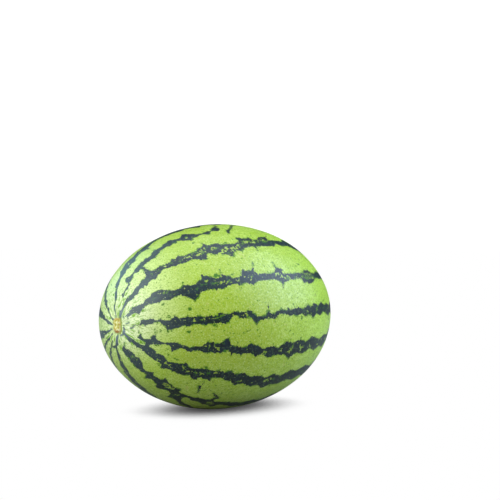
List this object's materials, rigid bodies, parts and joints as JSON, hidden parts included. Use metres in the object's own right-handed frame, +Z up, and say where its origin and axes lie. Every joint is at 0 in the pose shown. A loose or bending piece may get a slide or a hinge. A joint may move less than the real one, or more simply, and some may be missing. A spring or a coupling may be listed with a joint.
{
  "type": "watermelon",
  "caption": "Whole oblong striped watermelon lying on its side on a small flat spot, with a corky stem scar at one end.",
  "frame": {"origin": "middle of the flat resting spot on the underside, below the middle of the fruit", "axes": "+X along the fruit from the stem end to the blossom end, +Z up, +Y to the fruit's far side"},
  "size_m": [0.283, 0.19, 0.1886],
  "materials": {
    "rind": "waxy satin rind, dark teal-green stripes with lacy edges on a pale yellow-green ground"
  },
  "bodies": {
    "root": {"watermelon": "rind"}
  },
  "joints": []
}
